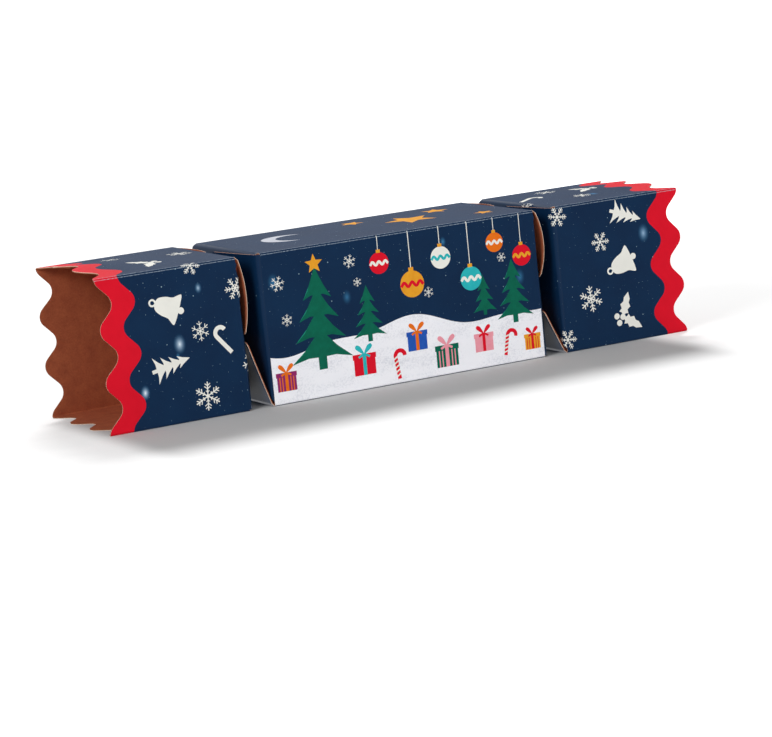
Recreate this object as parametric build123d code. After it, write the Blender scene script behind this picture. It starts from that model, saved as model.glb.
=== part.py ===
"""A christmas cracker carton: three square tubes of printed board in a row, with scalloped open ends and two
drawn-in necks of inward folded flaps. Millimetres, +X along the cracker, +Z up, origin under its middle."""

import os
from math import acos, asin, atan2, cos, degrees, hypot, sin

from build123d import *

# Tube
side = 70.0  # outside width of the square tube
board = 0.6  # thickness of the board
centre_length = 142.0  # centre section, crease to crease
end_length = 68.0  # end section, crease to wave crests
neck_gap = 12.5  # between the panel ends on both sides of a neck

# Scalloped edge of an end
waves_per_panel = 3
wave_depth = 6.9  # crest to valley
wave_radius = 5.6  # rounding of the crests and valleys

# Glue seam under the top panels
glue_flap_width = 12.0
glue_flap_setback = 2.0  # how far a glue flap stops short of its panel's ends
glue_flap_taper = 3.0  # how much shorter its free edge is at each end

# Neck flaps
flap_length = 30.5  # crease to tip
flap_head_relief = 1.0  # from the tube's corner to the flap's straight side
flap_tail_relief = 5.0  # from the other corner to where the slanted side starts
flap_tip_radius = 2.0  # rounding of the tip's corners
crease_clearance = 0.2  # between a panel's end and the rounded root of its flap
tip_clearance = 0.3  # between flaps that face each other across a neck

# Each side of the tube, and its turn about the tube's axis from the bottom side
SIDE_TURNS = {"bottom": 0, "front": -90, "top": 180, "back": 90}

# Derived places along X and the flaps' fold
centre_end = centre_length / 2
end_start = centre_end + neck_gap
crest = end_start + end_length
crease_offset = board / 2 + crease_clearance
crease_to_crease = neck_gap - 2 * crease_offset
flap_lean = (crease_to_crease - tip_clearance - board) / 2
fold_angle = degrees(acos(flap_lean / flap_length))
tube_axis = Axis((0, 0, side / 2), (1, 0, 0))


def turned(shape, side_name):
    """A shape modelled on the bottom side, turned about the tube's axis to another side."""
    return shape.rotate(tube_axis, SIDE_TURNS[side_name])


def mitred_bar(start, end):
    """The space of one bottom panel from start to end, mitred along the tube's two edges."""
    half = side / 2
    corners = [(-half, 0), (half, 0), (half - board, board), (board - half, board)]
    section = Plane.YZ.offset(start) * make_face(Polyline(*corners, close=True))
    return extrude(section, end - start)


def scalloped_edge(outer):
    """The wavy outer edge of an end panel at X = outer, from its front corner to its back corner.

    Crests and valleys are arcs of one radius with straight flanks between them, and the crests stand on the
    tube's corners.
    """
    half_pitch = side / waves_per_panel / 2
    spare = 2 * wave_radius - wave_depth
    flank = asin(2 * wave_radius / hypot(half_pitch, spare)) - atan2(spare, half_pitch)
    run, rise = wave_radius * sin(flank), wave_radius * (1 - cos(flank))
    half_run, half_rise = wave_radius * sin(flank / 2), wave_radius * (1 - cos(flank / 2))
    inner = outer - wave_depth
    edges = []
    for wave in range(waves_per_panel):
        first = 2 * half_pitch * wave - side / 2
        low, last = first + half_pitch, first + 2 * half_pitch
        down = [(outer - rise, first + run), (inner + rise, low - run)]
        up = [(inner + rise, low + run), (outer - rise, last - run)]
        edges += [
            ThreePointArc((outer, first), (outer - half_rise, first + half_run), down[0]),
            Line(*down),
            ThreePointArc(down[1], (inner, low), up[0]),
            Line(*up),
            ThreePointArc(up[1], (outer - half_rise, last - half_run), (outer, last)),
        ]
    return edges


def end_panel(side_name):
    """One panel of the right end, with its scalloped edge."""
    half = side / 2
    straight = Polyline((crest, half), (end_start, half), (end_start, -half), (crest, -half))
    outline = make_face([*scalloped_edge(crest), *straight.edges()])
    return turned(extrude(outline, board) & mitred_bar(end_start, crest), side_name)


def glue_flap(start, end):
    """The strip on the back panel's top edge, glued under the top panel."""
    y_root = side / 2 - board
    y_free = y_root - glue_flap_width
    corners = [
        (start, y_root),
        (end, y_root),
        (end - glue_flap_taper, y_free),
        (start + glue_flap_taper, y_free),
    ]
    sheet = make_face(Polyline(*corners, close=True))
    return Pos(0, 0, side - 2 * board) * extrude(sheet, board)


def neck_flap(side_name):
    """One flap with its crease at X = 0, reaching towards -X and folded inwards.

    Its head side is square to the crease and its tail side slants at 45 degrees, so that the four flaps of a
    section lie over each other as a pinwheel. Its root is round, about the crease.
    """
    head = flap_head_relief - side / 2
    tail = side / 2 - flap_tail_relief
    corners = [(0, head), (-flap_length, head), (-flap_length, tail - flap_length), (0, tail)]
    outline = make_face(Polyline(*corners, close=True))
    tips = outline.vertices().sort_by(Axis.X)[:2]
    plate = extrude(fillet(tips, flap_tip_radius), board)
    root = Cylinder(board / 2, tail - head, rotation=(90, 0, 0))
    flap = plate + Pos(0, (head + tail) / 2, board / 2) * root
    folded = flap.rotate(Axis((0, 0, board / 2), (0, 1, 0)), fold_angle)
    return turned(folded, side_name)


def half_turn(shape):
    """A shape turned half a turn about the vertical through the middle of the cracker."""
    return shape.rotate(Axis.Z, 180)


def save(name, shape):
    """Write one sub-part."""
    export_step(shape, f"parts/{name}.step")


def main():
    os.makedirs("parts", exist_ok=True)
    opposite = {"bottom": "bottom", "front": "back", "top": "top", "back": "front"}

    for name in SIDE_TURNS:
        save(f"centre_{name}_panel", turned(mitred_bar(-centre_end, centre_end), name))
        save(f"right_end_{name}_panel", end_panel(name))
        save(f"left_end_{name}_panel", half_turn(end_panel(opposite[name])))

    inner, outer = end_start + glue_flap_setback, crest - wave_depth - glue_flap_setback
    save("centre_glue_flap", glue_flap(glue_flap_setback - centre_end, centre_end - glue_flap_setback))
    save("right_end_glue_flap", glue_flap(inner, outer))
    save("left_end_glue_flap", glue_flap(-outer, -inner))

    centre_crease, end_crease = centre_end + crease_offset, end_start - crease_offset
    for name in SIDE_TURNS:
        flap = neck_flap(name)
        facing = half_turn(neck_flap(opposite[name]))
        save(f"left_neck_centre_{name}_flap", Pos(-centre_crease, 0, 0) * flap)
        save(f"left_neck_end_{name}_flap", Pos(-end_crease, 0, 0) * facing)
        save(f"right_neck_centre_{name}_flap", Pos(centre_crease, 0, 0) * facing)
        save(f"right_neck_end_{name}_flap", Pos(end_crease, 0, 0) * flap)


if __name__ == "__main__":
    main()
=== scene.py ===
"""Dresses the christmas cracker carton: printed board panels, folded neck flaps and a plain studio.

Lengths are millimetres until a mesh is made, and the studio's are metres. The print is laid out on the flat
sheet: x runs along the cracker, and v runs round the tube, from the front panel's lower edge up and over the
top and the back to the underside.
"""

import logging
import math
from collections.abc import Sequence
from dataclasses import dataclass, field
from enum import Enum

import bpy
import numpy as np
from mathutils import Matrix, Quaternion, Vector
from mathutils.geometry import delaunay_2d_cdt


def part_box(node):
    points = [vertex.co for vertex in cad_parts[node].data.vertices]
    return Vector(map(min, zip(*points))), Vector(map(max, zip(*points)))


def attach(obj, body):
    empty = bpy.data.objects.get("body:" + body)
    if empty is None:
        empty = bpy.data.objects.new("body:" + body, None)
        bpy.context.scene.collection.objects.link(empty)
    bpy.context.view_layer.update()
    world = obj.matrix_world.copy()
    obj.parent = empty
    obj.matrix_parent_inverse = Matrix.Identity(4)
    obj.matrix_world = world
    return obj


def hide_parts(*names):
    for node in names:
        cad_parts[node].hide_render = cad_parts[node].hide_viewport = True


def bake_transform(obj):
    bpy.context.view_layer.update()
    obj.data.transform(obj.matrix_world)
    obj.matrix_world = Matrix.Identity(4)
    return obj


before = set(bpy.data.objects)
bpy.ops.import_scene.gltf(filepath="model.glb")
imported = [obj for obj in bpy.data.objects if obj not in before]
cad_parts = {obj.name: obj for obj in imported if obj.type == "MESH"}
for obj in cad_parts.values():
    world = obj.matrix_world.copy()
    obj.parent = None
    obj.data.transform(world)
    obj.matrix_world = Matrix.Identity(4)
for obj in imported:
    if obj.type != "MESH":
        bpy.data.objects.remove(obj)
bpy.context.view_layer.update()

log = logging.getLogger("cracker")

MM_PER_M = 1000.0
Points = np.ndarray
Tree = bpy.types.NodeTree
Node = bpy.types.Node
Socket = bpy.types.NodeSocket
Material = bpy.types.Material
Object = bpy.types.Object


def node_box(node: str) -> Points:
    """Lowest and highest corner of a CAD node, in millimetres."""
    return np.array(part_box(node)) * MM_PER_M


@dataclass(frozen=True)
class Carton:
    """The carton's sizes: those that the CAD frame gives, and those that only its outlines hold."""

    side: float
    board: float
    centre_end: float
    end_start: float
    crest: float
    waves_per_panel: int = 3
    wave_depth: float = 6.9
    wave_radius: float = 5.6
    corner_radius: float = 1.3

    @classmethod
    def from_frame(cls) -> "Carton":
        """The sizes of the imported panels.

        Returns:
            The carton with its side, board and places along X read from two panels.
        """
        centre, end = node_box("centre_front_panel"), node_box("right_end_front_panel")
        thickness = centre[1][1] - centre[0][1]
        return cls(centre[1][2], thickness, centre[1][0], end[0][0], end[1][0])

    def scallop(self, v: Points) -> Points:
        """How far the wavy edge of an end lies inside its crests.

        Its crests and valleys are arcs of one radius, with straight flanks between them.

        Args:
            v: Places round the tube.

        Returns:
            The distance from the crests, from 0 to the wave depth.
        """
        half_pitch, radius = self.side / self.waves_per_panel / 2, self.wave_radius
        spare = 2 * radius - self.wave_depth
        flank = math.asin(2 * radius / math.hypot(half_pitch, spare)) - math.atan2(spare, half_pitch)
        off_crest = np.abs((v + half_pitch) % (2 * half_pitch) - half_pitch)
        to_end = np.minimum(off_crest, half_pitch - off_crest)
        arc_run = radius * math.sin(flank)
        drop = radius - np.sqrt(radius**2 - np.minimum(to_end, arc_run) ** 2)
        drop += np.maximum(to_end - arc_run, 0) * math.tan(flank)
        return np.where(off_crest <= half_pitch / 2, drop, self.wave_depth - drop)


CARTON = Carton.from_frame()


class Side(Enum):
    """A side of the tube, in the order of the flat sheet, with its outward and its along-the-sheet axis."""

    FRONT = (0, (0, -1, 0), (0, 0, 1))
    TOP = (1, (0, 0, 1), (0, 1, 0))
    BACK = (2, (0, 1, 0), (0, 0, -1))
    BOTTOM = (3, (0, 0, -1), (0, -1, 0))

    @property
    def start(self) -> float:
        """Where this side starts on the flat sheet."""
        return self.value[0] * CARTON.side

    @property
    def word(self) -> str:
        """The side's name in the CAD nodes."""
        return self.name.lower()


OUTWARD = np.array([side.value[1] for side in Side], float)
ALONG = np.array([side.value[2] for side in Side], float)


class Ink(Enum):
    """The printed colours."""

    NAVY = "navy"
    RED = "red"
    WHITE = "white"
    SNOW = "snow"
    PINE = "pine"
    LEAF = "leaf"
    GOLD = "gold"
    ORANGE = "orange"
    BLUE = "blue"
    PLUM = "plum"
    TEAL = "teal"
    PINK = "pink"
    MOON = "moon"


Motif = list[tuple[Ink, Points]]  # flat shapes with their inks, each over those before it


# Outlines


def turned(points: Points, degrees: float) -> Points:
    """Points turned about the origin of the sheet."""
    c, s = math.cos(math.radians(degrees)), math.sin(math.radians(degrees))
    return points @ np.array([[c, s], [-s, c]])


def arc(radius: float, start: float, end: float, steps: int = 16) -> Points:
    """Points on an arc about the origin.

    Args:
        radius: The arc's radius.
        start: Its first angle in degrees.
        end: Its last angle in degrees.
        steps: How many spans it has.

    Returns:
        The points, both ends included.
    """
    angles = np.radians(np.linspace(start, end, steps + 1))
    return radius * np.column_stack([np.cos(angles), np.sin(angles)])


def disc(radius: float, steps: int = 28) -> Points:
    """A closed round outline about the origin."""
    return arc(radius, 0, 360, steps)[:-1]


def bar(start: Sequence[float], end: Sequence[float], width: float) -> Points:
    """A straight bar of that width between two points.

    Args:
        start: The middle of its first end.
        end: The middle of its other end.
        width: How wide it is.

    Returns:
        Its four corners.
    """
    a, b = np.array(start, float), np.array(end, float)
    run = (b - a) / np.linalg.norm(b - a)
    across = np.array([-run[1], run[0]]) * width / 2
    return np.array([a - across, b - across, b + across, a + across])


def strip(path: Points, width: float) -> Points:
    """A band of even width along a path.

    Args:
        path: The points of its middle line.
        width: How wide it is.

    Returns:
        The closed outline.
    """
    run = np.gradient(path, axis=0)
    run /= np.linalg.norm(run, axis=1)[:, None]
    across = np.column_stack([-run[:, 1], run[:, 0]]) * width / 2
    return np.concatenate([path - across, (path + across)[::-1]])


def smooth(points: Sequence[Sequence[float]], steps: int = 6) -> Points:
    """A closed curve through a few points.

    Args:
        points: The points, in order.
        steps: How many spans lie between two of them.

    Returns:
        The Catmull-Rom curve's points.
    """
    knots = np.array(points, float)
    before, after, later = np.roll(knots, 1, 0), np.roll(knots, -1, 0), np.roll(knots, -2, 0)
    spans = []
    for t in np.linspace(0, 1, steps, endpoint=False):
        spans.append(
            0.5
            * (
                2 * knots
                + (after - before) * t
                + (2 * before - 5 * knots + 4 * after - later) * t**2
                + (3 * knots - before - 3 * after + later) * t**3
            )
        )
    return np.stack(spans, 1).reshape(-1, 2)


def mirrored(half: Sequence[Sequence[float]]) -> Points:
    """A closed outline from its right half, given from its foot to its top."""
    right = np.array(half, float)
    return np.concatenate([right, (right * (-1, 1))[::-1]])


def rounded(corners: Sequence[Sequence[float]], radii: Sequence[float], steps: int = 6) -> Points:
    """A polygon with rounded corners.

    Args:
        corners: The sharp corners, in order.
        radii: The rounding of each corner, 0 for none.
        steps: How many spans a rounding has.

    Returns:
        The closed outline.
    """
    sharp = np.array(corners, float)
    rim = []
    for i, (corner, radius) in enumerate(zip(sharp, radii)):
        if radius == 0:
            rim.append(corner)
            continue
        to_last, to_next = sharp[i - 1] - corner, sharp[(i + 1) % len(sharp)] - corner
        to_last, to_next = to_last / np.linalg.norm(to_last), to_next / np.linalg.norm(to_next)
        half = math.acos(float(np.clip(to_last @ to_next, -1, 1))) / 2
        first, last = (corner + d * radius / math.tan(half) for d in (to_last, to_next))
        middle = (to_last + to_next) / np.linalg.norm(to_last + to_next)
        centre = corner + middle * radius / math.sin(half)
        for t in np.linspace(0, 1, steps + 1):
            spoke = (1 - t) * (first - centre) + t * (last - centre)
            rim.append(centre + spoke / np.linalg.norm(spoke) * radius)
    return np.array(rim)


def divided(outline: Points, spacing: float) -> Points:
    """A closed outline with points added on its long sides, so that it can bend with the board.

    Args:
        outline: The outline's points.
        spacing: The longest side that it may keep.

    Returns:
        The outline with its long sides divided evenly.
    """
    rim = []
    for start, end in zip(outline, np.roll(outline, -1, 0)):
        parts = max(1, math.ceil(np.linalg.norm(end - start) / spacing))
        rim.append(start + np.outer(np.arange(parts) / parts, end - start))
    return np.concatenate(rim)


def anticlockwise(outline: Points) -> Points:
    """An outline in anticlockwise order.

    Args:
        outline: A closed outline in either order.

    Returns:
        The same points, turned round where needed.
    """
    x, y = outline[:, 0], outline[:, 1]
    doubled_area = np.sum(x * np.roll(y, -1) - np.roll(x, -1) * y)
    return outline if doubled_area > 0 else outline[::-1]


class FlakeStyle(Enum):
    """The barbs of a snowflake's arm: the place on the arm and the length of each pair, of its radius."""

    FERN = ((0.28, 0.16), (0.5, 0.3), (0.72, 0.25))
    STAR = ((0.24, 0.2), (0.62, 0.34))
    BRANCH = ((0.2, 0.18), (0.44, 0.26), (0.68, 0.3))


def snowflake(style: FlakeStyle) -> Motif:
    """A white six-armed flake of radius 1.

    Args:
        style: The barbs of its arms.

    Returns:
        Its shapes.
    """
    arms, first_angle = 6, 30.0
    arm_width, barb_width, barb_angle, hub = 0.085, 0.07, 52.0, 0.13
    shapes = [(Ink.WHITE, disc(hub, arms))]
    for arm in range(arms):
        angle = first_angle + 360 / arms * arm
        shapes.append((Ink.WHITE, turned(bar((0, 0), (1, 0), arm_width), angle)))
        for place, length in style.value:
            for hand in (1, -1):
                tip = np.array([place, 0]) + turned(np.array([length, 0.0]), hand * barb_angle)
                shapes.append((Ink.WHITE, turned(bar((place, 0), tip, barb_width), angle)))
    return shapes


def star(points: int, waist: float, ink: Ink) -> Motif:
    """A pointed star of radius 1.

    Args:
        points: How many points it has.
        waist: The radius between its points.
        ink: Its colour.

    Returns:
        Its shape.
    """
    radii = np.where(np.arange(2 * points) % 2 == 0, 1.0, waist)
    angles = np.pi / 2 + np.arange(2 * points) * np.pi / points
    return [(ink, radii[:, None] * np.column_stack([np.cos(angles), np.sin(angles)]))]


def fir(ink: Ink, shine: Ink, tiers: int = 4) -> Motif:
    """A fir of height 1, standing on the origin.

    Args:
        ink: Its colour.
        shine: The colour of the lit edge of its tiers.
        tiers: How many tiers of branches it has.

    Returns:
        Its shapes, trunk first.
    """
    trunk_height, trunk_width, spread, narrowing, overlap = 0.1, 0.09, 0.33, 0.72, 0.45
    shapes = [(ink, bar((0, 0), (0, 2 * trunk_height), trunk_width))]
    rise = (1 - trunk_height) / (tiers + overlap)
    for tier in range(tiers):
        foot = trunk_height + tier * rise
        top = min(1.0, foot + rise * (1 + overlap))
        width = spread * (1 - narrowing * tier / tiers)
        point = (width, foot - 0.015)
        flank = (width * 0.52, foot + rise * 0.55)
        hem = [(0, foot + 0.02), (width * 0.45, foot + 0.025)]
        shapes.append((ink, mirrored([*hem, point, flank, (0, top)])))
        if shine is not ink:
            lit = np.array([point, flank, (0.01, top), (width * 0.62, foot + rise * 0.36)])
            shapes.append((shine, lit * (-1, 1)))
    return shapes


def bell(ink: Ink) -> Motif:
    """A bell of height 1 about the origin, with its loop and clapper.

    Args:
        ink: Its colour.

    Returns:
        Its shapes.
    """
    mouth = [(0.2, -0.37), (0.4, -0.34), (0.37, -0.25)]
    half = [*mouth, (0.28, -0.12), (0.25, 0.08), (0.17, 0.27), (0.05, 0.34)]
    loop = strip(np.array([0, 0.41]) + arc(0.08, -70, 250), 0.05)
    return [(ink, smooth(mirrored(half), 4)), (ink, loop), (ink, disc(0.09) + (0, -0.43))]


def cane(ink: Ink, stripe: Ink | None = None) -> Motif:
    """A candy cane of height 1 about the origin.

    Args:
        ink: Its colour.
        stripe: The colour of its slanted stripes, if it has any.

    Returns:
        Its shapes.
    """
    width, hook, stem_at = 0.15, 0.19, -0.12
    stem = np.column_stack([np.full(8, stem_at), np.linspace(-0.5, 0.28, 8)])
    crook = arc(hook, 180, -10, 18) + (hook + stem_at, 0.3)
    shapes = [(ink, strip(np.concatenate([stem, crook[1:]]), width))]
    if stripe:
        left, right = stem_at - width / 2, stem_at + width / 2
        for z in np.linspace(-0.42, 0.2, 5):
            slanted = [(left, z), (right, z + 0.07), (right, z + 0.13), (left, z + 0.06)]
            shapes.append((stripe, np.array(slanted)))
    return shapes


def sprig(ink: Ink) -> Motif:
    """Two pointed holly leaves and three berries, about 1 across.

    Args:
        ink: Their colour.

    Returns:
        Its shapes, leaves first.
    """
    lower = [(0, -0.5), (0.1, -0.36), (0.22, -0.34), (0.14, -0.2)]
    leaf = 0.8 * mirrored([*lower, (0.24, -0.06), (0.13, 0.08), (0.14, 0.24), (0, 0.5)])
    leaves = [(ink, turned(leaf, tilt) + (x, 0.16)) for tilt, x in ((52, -0.33), (-52, 0.33))]
    berries = [(ink, disc(0.1, 16) + at) for at in ((0, -0.1), (-0.12, -0.29), (0.12, -0.29))]
    return leaves + berries


def gift(box: Ink, ribbon: Ink, stripes: bool = False) -> Motif:
    """A wrapped box of width 1, standing on the origin, with a ribbon and a bow.

    Args:
        box: The colour of its paper.
        ribbon: The colour of its ribbon.
        stripes: Whether its paper is striped.

    Returns:
        Its shapes.
    """
    height, lid = 0.82, 0.2
    shapes = [(box, np.array([(-0.46, 0), (0.46, 0), (0.46, height - lid), (-0.46, height - lid)]))]
    if stripes:
        shapes += [(ribbon, bar((x, 0), (x, height - lid), 0.045)) for x in (-0.33, -0.2, 0.2, 0.33)]
    shapes.append((box, np.array([(-0.5, height - lid), (0.5, height - lid), (0.5, height), (-0.5, height)])))
    shapes.append((ribbon, bar((0, 0), (0, height), 0.15)))
    loop = [(0, 0), (0.16, 0.06), (0.36, 0.24), (0.3, 0.36), (0.14, 0.28)]
    for hand in (1, -1):
        shapes.append((ribbon, smooth(np.array(loop) * (hand, 1) + (0, height))))
        shapes.append((ribbon, bar((0, height), (hand * 0.24, height - 0.13), 0.09)))
    return shapes


def bauble(ball: Ink, band: Ink, drop: float) -> Motif:
    """A ball of radius 1 that hangs from a thread of that length above its middle.

    Args:
        ball: The colour of the ball.
        band: The colour of the band round it.
        drop: The thread's length, of the ball's radius.

    Returns:
        Its shapes, with the thread's top at the origin.
    """
    middle = np.array([0, -drop])
    waves = np.linspace(-0.93, 0.93, 25)
    zigzag = np.column_stack([waves, 0.16 * np.cos(waves * 3 * np.pi)])
    return [
        (Ink.WHITE, bar((0, 0), (0, -drop), 0.07)),
        (ball, disc(1.0) + middle),
        (Ink.GOLD, bar((0, 0.95 - drop), (0, 1.25 - drop), 0.42)),
        (band, strip(zigzag, 0.24) + middle),
    ]


def crescent(ink: Ink) -> Motif:
    """A crescent moon of radius 1.

    Args:
        ink: Its colour.

    Returns:
        Its shape: a disc with a smaller disc taken out of its right side.
    """
    hollow, shift = 0.86, 0.42
    inner_tip = math.acos((1 - hollow**2 - shift**2) / (2 * hollow * shift))
    outer_tip = math.degrees(math.atan2(hollow * math.sin(inner_tip), shift + hollow * math.cos(inner_tip)))
    inner_tip = math.degrees(inner_tip)
    inner = arc(hollow, 360 - inner_tip, inner_tip, 24)[1:-1] + (shift, 0)
    return [(ink, np.concatenate([arc(1.0, outer_tip, 360 - outer_tip, 30), inner]))]


@dataclass
class Artwork:
    """The print of one section: flat shapes, each over those before it."""

    shapes: Motif = field(default_factory=list)

    def lay(self, motif: Motif, at: tuple[float, float], size: float, turn: float = 0.0) -> None:
        """Print a motif.

        Args:
            motif: Its shapes, about the origin.
            at: Its place on the sheet.
            size: How many millimetres its unit is.
            turn: How far it is turned, in degrees.
        """
        for ink, outline in motif:
            placed = turned(np.asarray(outline, float) * size, turn) + at
            self.shapes.append((ink, anticlockwise(placed)))

    def near(self, outline: Points) -> Motif:
        """The shapes that may touch an outline.

        Args:
            outline: A closed outline on the sheet.

        Returns:
            The shapes whose box meets the outline's box, in the order of printing.
        """
        low, high = outline.min(0), outline.max(0)
        return [
            (ink, shape)
            for ink, shape in self.shapes
            if (shape.max(0) > low).all() and (shape.min(0) < high).all()
        ]


# Finishes


def linear(hex_colour: str) -> tuple[float, float, float, float]:
    """A linear colour for a shader.

    Args:
        hex_colour: The colour as sRGB hex.

    Returns:
        Red, green, blue and alpha.
    """
    parts = [int(hex_colour[i : i + 2], 16) / 255 for i in (1, 3, 5)]
    return (*(p / 12.92 if p <= 0.04045 else ((p + 0.055) / 1.055) ** 2.4 for p in parts), 1.0)


def add_node(
    tree: Tree, kind: str, inputs: dict[str | int, object] | None = None, **settings: object
) -> Node:
    """Add a node with its settings, input values and links.

    Args:
        tree: The node tree.
        kind: The node's type, as Blender names it after ShaderNode.
        inputs: For each input, by name or number: a value, or the socket or node to link. A node is linked by
            the first output that it has in use.
        **settings: The node's own settings.

    Returns:
        The node.
    """
    node = tree.nodes.new(f"ShaderNode{kind}")
    for name, value in settings.items():
        setattr(node, name, value)
    for key, value in (inputs or {}).items():
        if isinstance(value, Node):
            value = next(output for output in value.outputs if output.enabled)
        if isinstance(value, Socket):
            tree.links.new(value, node.inputs[key])
        else:
            node.inputs[key].default_value = value
    return node


def new_material(name: str) -> Material:
    """An empty node material.

    Args:
        name: The material's name.

    Returns:
        The new material.
    """
    material = bpy.data.materials.new(name)
    material.use_nodes = True
    material.node_tree.nodes.clear()
    return material


COLOUR_A, COLOUR_B = 6, 7  # a Mix node's inputs for colours
NUMBER_A, NUMBER_B = 2, 3  # and for numbers


@dataclass(frozen=True)
class Glow:
    """A soft light in the printed night sky: its place and size, and how bright its halo and its core are."""

    x: float
    v: float
    radius: float
    halo: float
    core: float = 0.0


@dataclass(frozen=True)
class PrintFinish:
    """Carton board, offset printed and satin varnished.

    The varnish gives a broad soft sheen that greys a face seen from low down, the ink lies a little uneven on
    the board's fibres, and pale lines along the upper creases are part cracked ink, part painted highlight.
    """

    ink: Ink
    colour: str
    deep: str
    mottle: float = 7.0  # size of the clouds in its ink
    starry: bool = False
    grey_grain: str | None = None

    SHEEN = 0.07
    ROUGHNESS = (0.62, 0.72)  # of the varnish between the board's fibres and on them
    ROUGHNESS_RANGE = (0.3, 0.7)  # values of the fibre pattern at which it is the lowest and the highest
    UNSCUFFED = 0.33  # roughness of the varnish on the neck's flaps, which no hand rubs
    FIBRE = 0.9  # board fibres are about 0.05 mm wide; drawn this coarse so that they show
    FIBRE_STRENGTH = 0.12
    FIBRE_HEIGHT = 0.0001  # in metres

    # Pale colour of the lines along the upper creases: part cracked ink, part painted highlight of the
    # rounded crease
    WORN = "#AEBFD0"
    CRACK_OFFSET = 0.75  # from the middle of a crease to the pale line beside it, cracked ink and painted highlight
    CRACK_WIDTH = (0.32, 0.05)  # where a pale crease line fades out and where it is whole
    CRACKED = (0.12, 0.95)  # share of the pale crease line between the fibres and on them
    CRACKED_RANGE = (0.36, 0.7)  # values of the fibre pattern at which it is the lowest and the highest

    DRIFT = (22.222, 6.25)  # length and width of the drifts of grey grain
    DOT = 0.7  # size of a dot of the grain
    GRAIN = 0.45  # the most of it
    GRAIN_RANGE = (0.24, 0.42)  # values of its pattern at which there is none and the most

    STAR_COLOUR = "#BFE4F2"
    STAR_RARITY = 3.0  # the higher, the fewer of the stars are large
    # Spacing and largest radius of the printed stars, and the share of brightness that they reach
    STARS = ((7.5, 0.36, 1.0), (3.2, 0.17, 0.6))
    GLOW_STRETCH = 1.5
    HALO_COLOUR = "#4E9FD6"
    HALO_FALL = 1.8
    CORE_COLOUR = "#F6FBFB"
    CORE_FALL = 3.4
    GLOWS = (
        Glow(-114.6, 35.6, 3.4, 0.8, 0.85),
        Glow(-102.7, 59.0, 1.9, 0.7, 0.45),
        Glow(-133.3, 16.6, 2.6, 1.0, 1.0),
        Glow(-116.0, 30.5, 1.2, 0.5),
        Glow(130.7, 50.9, 3.4, 0.7, 0.3),
        Glow(118.0, 92.0, 3.0, 0.5),
        Glow(-66.0, 56.0, 3.2, 0.45),
        Glow(-30.0, 44.0, 2.6, 0.4),
        Glow(61.0, 40.0, 3.0, 0.45),
        Glow(22.0, 62.0, 1.8, 0.6),
        Glow(-121.0, 178.0, 3.2, 0.7),
        Glow(112.0, 184.0, 2.8, 0.7),
    )

    def material(self) -> Material:
        """The finish as a node material.

        Returns:
            The new material.
        """
        material = new_material(f"satin_varnished_board_{self.ink.value}")
        tree = material.node_tree
        sheet = add_node(tree, "Attribute", attribute_name="sheet").outputs["Vector"]
        cloud, fibre = (
            add_node(
                tree, "TexNoise", {"Vector": sheet, "Scale": 1 / size, "Detail": detail, "Roughness": rough}
            )
            for size, detail, rough in ((self.mottle, 4.0, 0.6), (self.FIBRE, 2.0, 0.7))
        )
        inks = {0: cloud, COLOUR_A: linear(self.deep), COLOUR_B: linear(self.colour)}
        colour = add_node(tree, "Mix", inks, data_type="RGBA")
        if self.starry:
            colour = self.sky(tree, sheet, colour)
        if self.grey_grain:
            colour = self.grained(tree, sheet, colour)
        # Pale lines along the upper creases: part cracked ink, part painted highlight
        worn_and_highlight = {0: self.wear(tree, sheet, fibre), COLOUR_A: colour, COLOUR_B: linear(self.WORN)}
        colour = add_node(tree, "Mix", worn_and_highlight, data_type="RGBA")
        (start, end), (low, high) = self.ROUGHNESS_RANGE, self.ROUGHNESS
        varnish = {"Value": fibre, "From Min": start, "From Max": end, "To Min": low, "To Max": high}
        roughness = add_node(tree, "MapRange", varnish)
        rubbed = add_node(tree, "SeparateXYZ", {0: sheet}).outputs["Z"]
        rubbing = {0: rubbed, NUMBER_A: self.UNSCUFFED, NUMBER_B: roughness}
        roughness = add_node(tree, "Mix", rubbing, data_type="FLOAT")
        relief = {"Height": fibre, "Strength": self.FIBRE_STRENGTH, "Distance": self.FIBRE_HEIGHT}
        bump = add_node(tree, "Bump", relief)
        surface = {
            "Base Color": colour,
            "Roughness": roughness,
            "Normal": bump,
            "Specular IOR Level": self.SHEEN,
        }
        shader = add_node(tree, "BsdfPrincipled", surface)
        add_node(tree, "OutputMaterial", {"Surface": shader})
        return material

    def wear(self, tree: Tree, sheet: Socket, fibre: Node) -> Node:
        """The share of the pale crease lines: two fine lines along each upper crease, one on either side of
        it, part cracked ink and part painted highlight of the rounded crease.

        Args:
            tree: The material's node tree.
            sheet: The place on the flat sheet.
            fibre: The board's fibre pattern, which breaks the lines up.

        Returns:
            The node that gives the share.
        """
        place = add_node(tree, "SeparateXYZ", {0: sheet}).outputs
        v, creased = place["Y"], place["Z"]
        off = add_node(tree, "Math", {0: v, 1: CARTON.side / 2}, operation="PINGPONG")
        off = add_node(tree, "Math", {0: off, 1: self.CRACK_OFFSET}, operation="SUBTRACT")
        off = add_node(tree, "Math", {0: off}, operation="ABSOLUTE")
        outer, inner = self.CRACK_WIDTH
        share = add_node(tree, "MapRange", {"Value": off, "From Min": outer, "From Max": inner})
        (start, end), (low, high) = self.CRACKED_RANGE, self.CRACKED
        line_breakup = {"Value": fibre, "From Min": start, "From Max": end, "To Min": low, "To Max": high}
        broken_up = add_node(tree, "MapRange", line_breakup)
        # The lines run only along the upper creases, where the light from above catches them: this part is
        # painted highlight
        top_middle = Side.TOP.start + CARTON.side / 2
        upper = add_node(tree, "Math", {0: v, 1: top_middle, 2: CARTON.side}, operation="COMPARE")
        for part in (broken_up, upper, creased):
            share = add_node(tree, "Math", {0: share, 1: part}, operation="MULTIPLY")
        return share

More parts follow.
